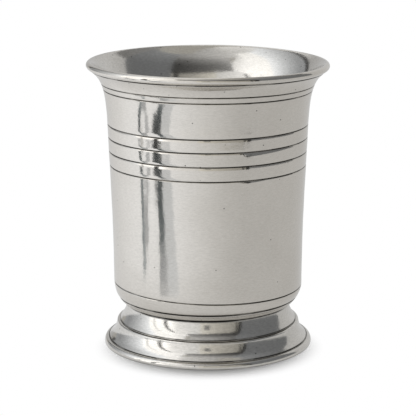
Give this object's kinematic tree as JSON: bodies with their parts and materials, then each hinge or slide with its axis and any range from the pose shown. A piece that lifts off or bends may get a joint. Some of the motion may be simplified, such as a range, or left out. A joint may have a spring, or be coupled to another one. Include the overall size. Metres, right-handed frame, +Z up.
{
  "type": "footed tumbler",
  "caption": "Footed metal drinking tumbler with a flared mouth, a wall with turned lines and a hollow tiered foot that stands flat on a table.",
  "frame": {"origin": "centre of the foot's base ring, on the table", "axes": "+Z up along the turning axis, towards the mouth; X and Y are free, because the part is turned"},
  "size_m": [0.084, 0.084, 0.1],
  "materials": {
    "satin_pewter": "satin",
    "bright_pewter": "polished",
    "solder": "dull"
  },
  "bodies": {
    "root": {"cup_body": "satin_pewter", "cup_floor": "bright_pewter", "floor_solder_fillet": "solder", "foot": "bright_pewter", "neck_solder_ring": "solder"}
  },
  "joints": []
}
